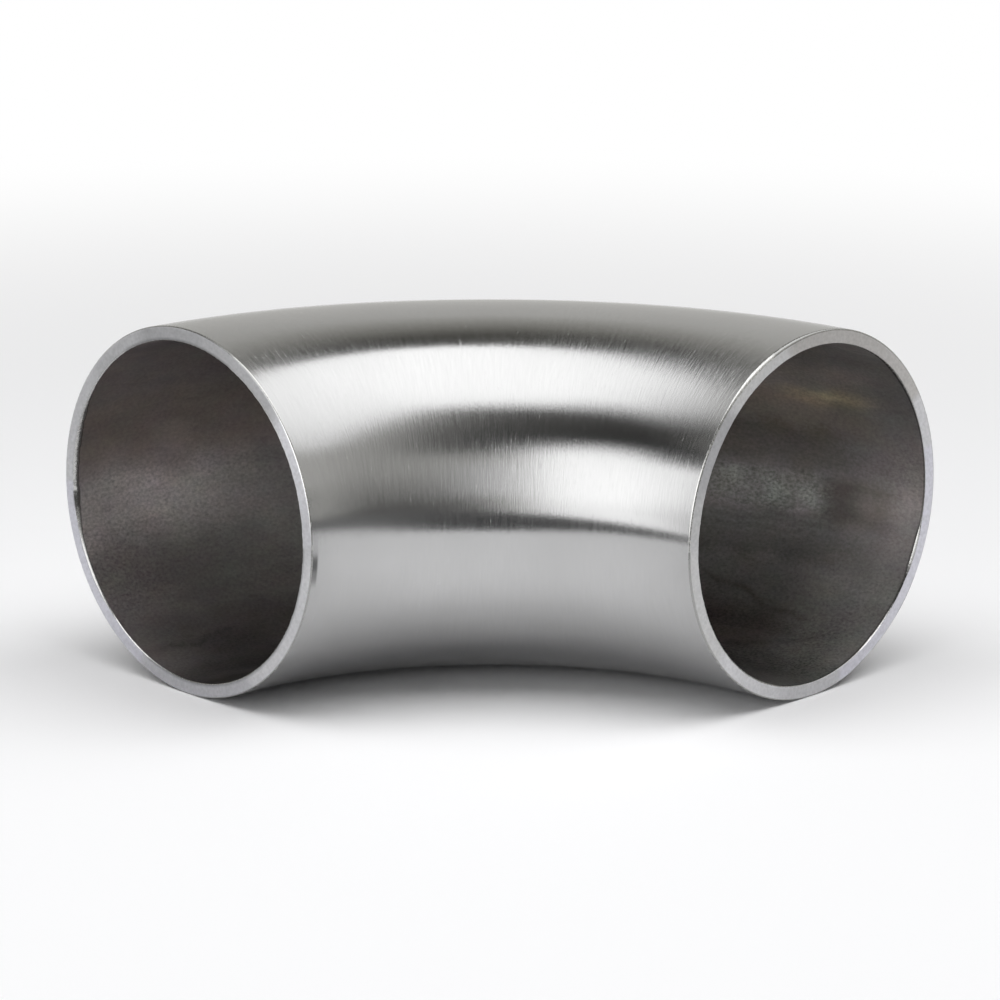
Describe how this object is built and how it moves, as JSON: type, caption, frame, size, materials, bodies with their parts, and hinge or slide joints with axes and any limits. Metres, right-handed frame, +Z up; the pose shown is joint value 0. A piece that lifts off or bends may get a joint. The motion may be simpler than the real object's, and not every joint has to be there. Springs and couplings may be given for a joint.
{
  "type": "mandrel bent elbow",
  "caption": "Quarter-turn tube elbow with a smooth round bore, no straight ends, square-cut deburred mouths and a satin brushed outside.",
  "frame": {"origin": "on the surface it lies on, under the middle of the elbow's box", "axes": "+Z up, square to the plane of the bend; the inlet mouth faces -Y and the outlet mouth faces +X"},
  "size_m": [0.0812, 0.0812, 0.0483],
  "materials": {
    "stainless_tube": "satin brushed in hoops outside, faced ends, dark matt pickled bore"
  },
  "bodies": {
    "root": {"elbow": "stainless_tube"}
  },
  "joints": []
}
